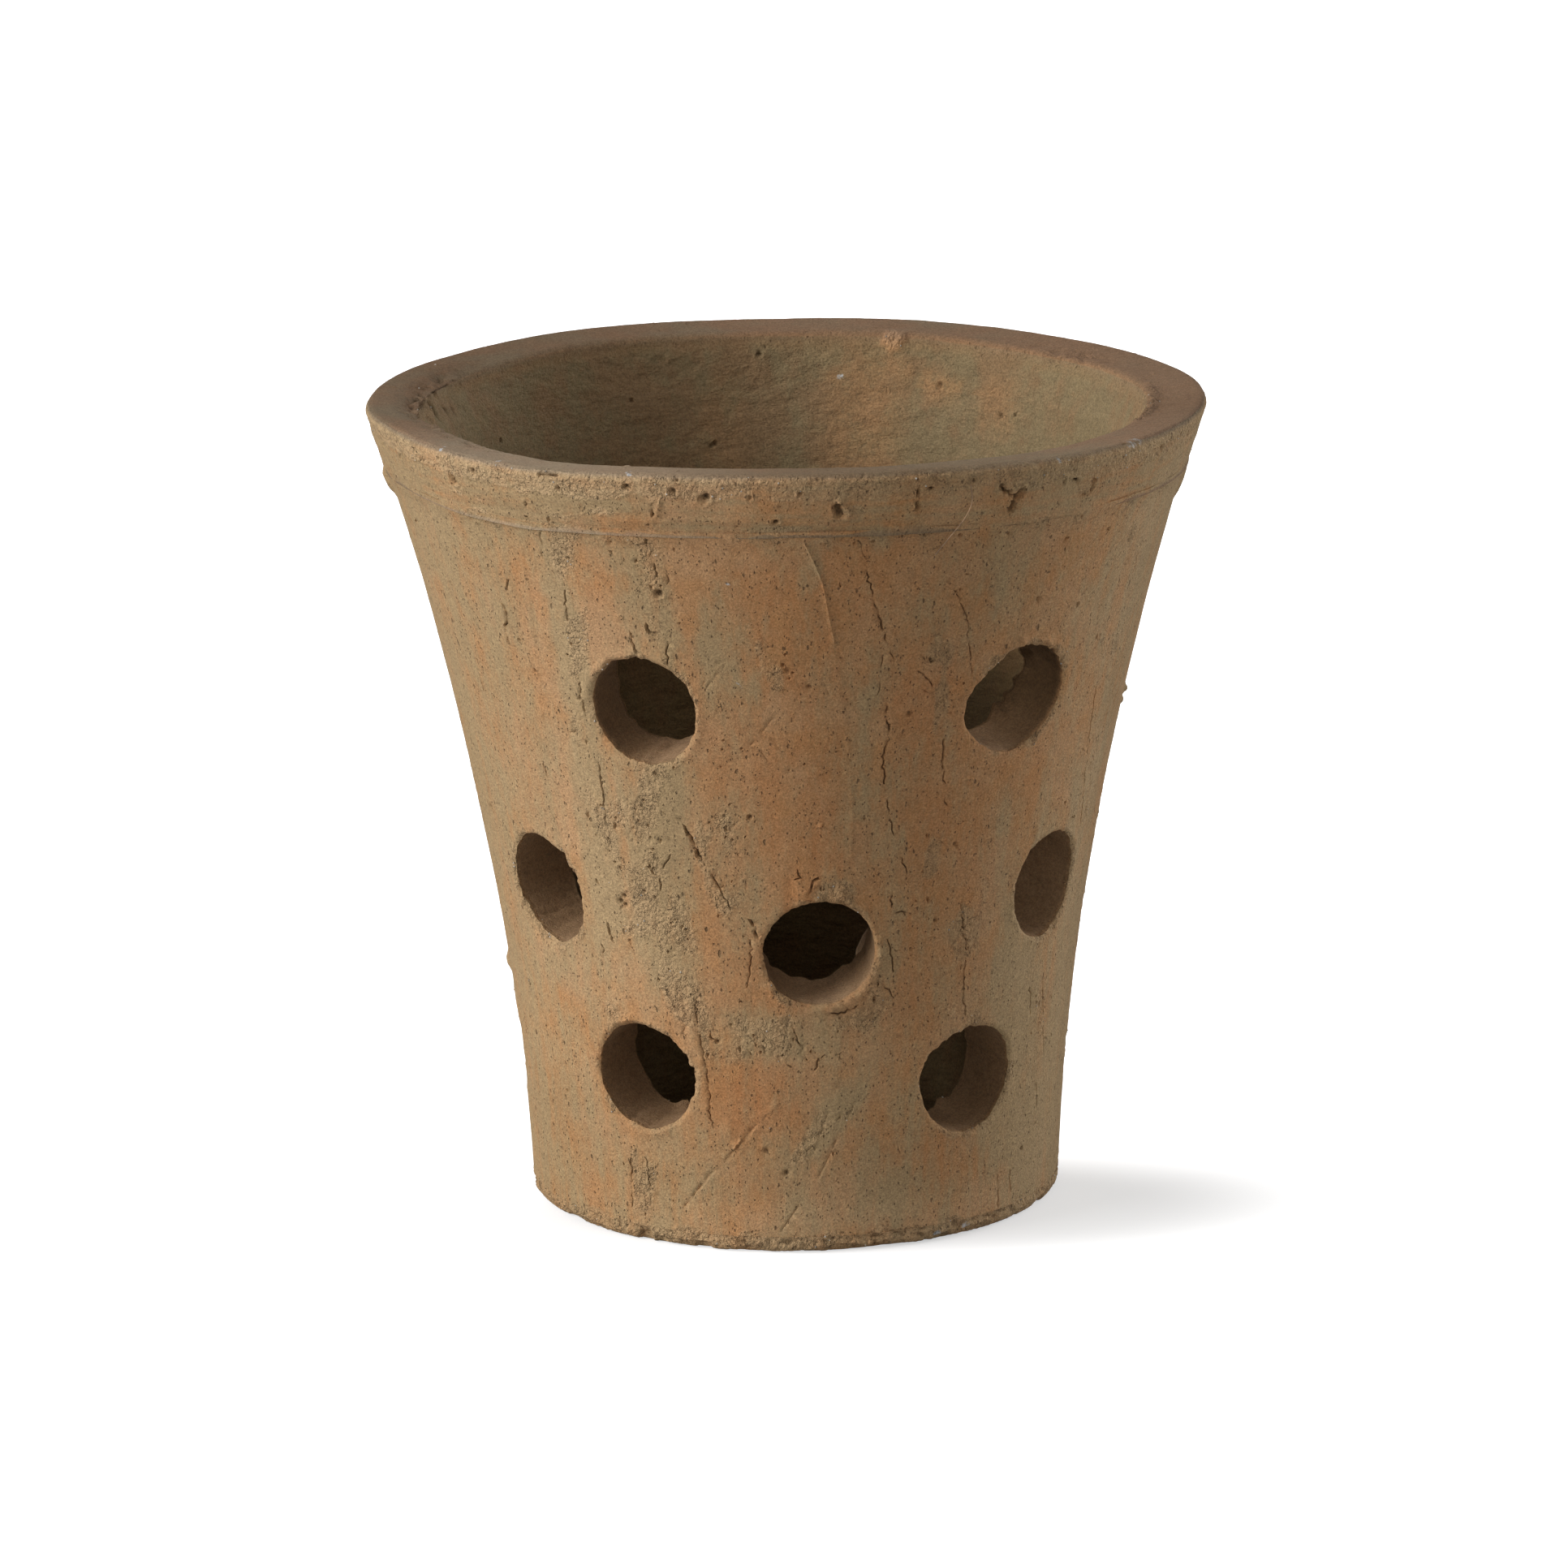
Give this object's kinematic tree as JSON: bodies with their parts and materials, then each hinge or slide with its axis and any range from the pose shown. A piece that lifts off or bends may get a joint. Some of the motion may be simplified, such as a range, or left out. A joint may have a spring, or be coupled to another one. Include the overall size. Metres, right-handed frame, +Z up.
{
  "type": "orchid pot",
  "caption": "Hand-built flared clay orchid pot with staggered rows of round vent holes, a laid-on rim band and a drain hole",
  "frame": {"origin": "middle of the foot's underside, on the surface that the pot stands on", "axes": "+Z up along the pot's axis; -Y is the side that the picture shows; +X is to the picture's right"},
  "size_m": [0.217, 0.217, 0.21],
  "materials": {
    "floor_clay": "bare low-fired clay, torn and gritty at its edge, flat underneath",
    "wall_clay": "bare low-fired orange-brown clay with greenish-grey upright weather streaks, pits and drying cracks",
    "rim_clay": "bare low-fired clay, smoothed on top, reddish-grey, crumbly at its edges"
  },
  "bodies": {
    "root": {"floor_slab": "floor_clay", "wall": "wall_clay", "rim_band": "rim_clay"}
  },
  "joints": []
}
